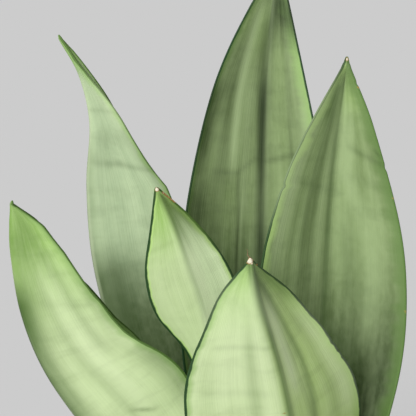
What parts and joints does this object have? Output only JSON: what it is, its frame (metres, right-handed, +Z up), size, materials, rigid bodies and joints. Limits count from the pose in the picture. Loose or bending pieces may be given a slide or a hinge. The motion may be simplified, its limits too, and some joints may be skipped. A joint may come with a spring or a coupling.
{
  "type": "potted snake plant",
  "caption": "Moonshine snake plant in a plain tapered pot: broad pale silvery-green leaves, each folded along its keel and drawn out to a stiff point, stand in dark soil.",
  "frame": {"origin": "centre of the pot's foot, on the surface it stands on", "axes": "+Z up along the pot's axis; -Y towards the viewer of the picture; +X to the viewer's right"},
  "size_m": [0.1885, 0.1818, 0.4071],
  "materials": {
    "pot": "matte",
    "soil": "matte",
    "leaf_pale": "satin",
    "leaf_green": "satin"
  },
  "bodies": {
    "root": {"pot": "pot", "soil": "soil", "leaf_front": "leaf_pale", "leaf_small": "leaf_pale", "leaf_left": "leaf_pale", "leaf_back_left": "leaf_pale", "leaf_tall": "leaf_green", "leaf_right": "leaf_green"}
  },
  "joints": []
}
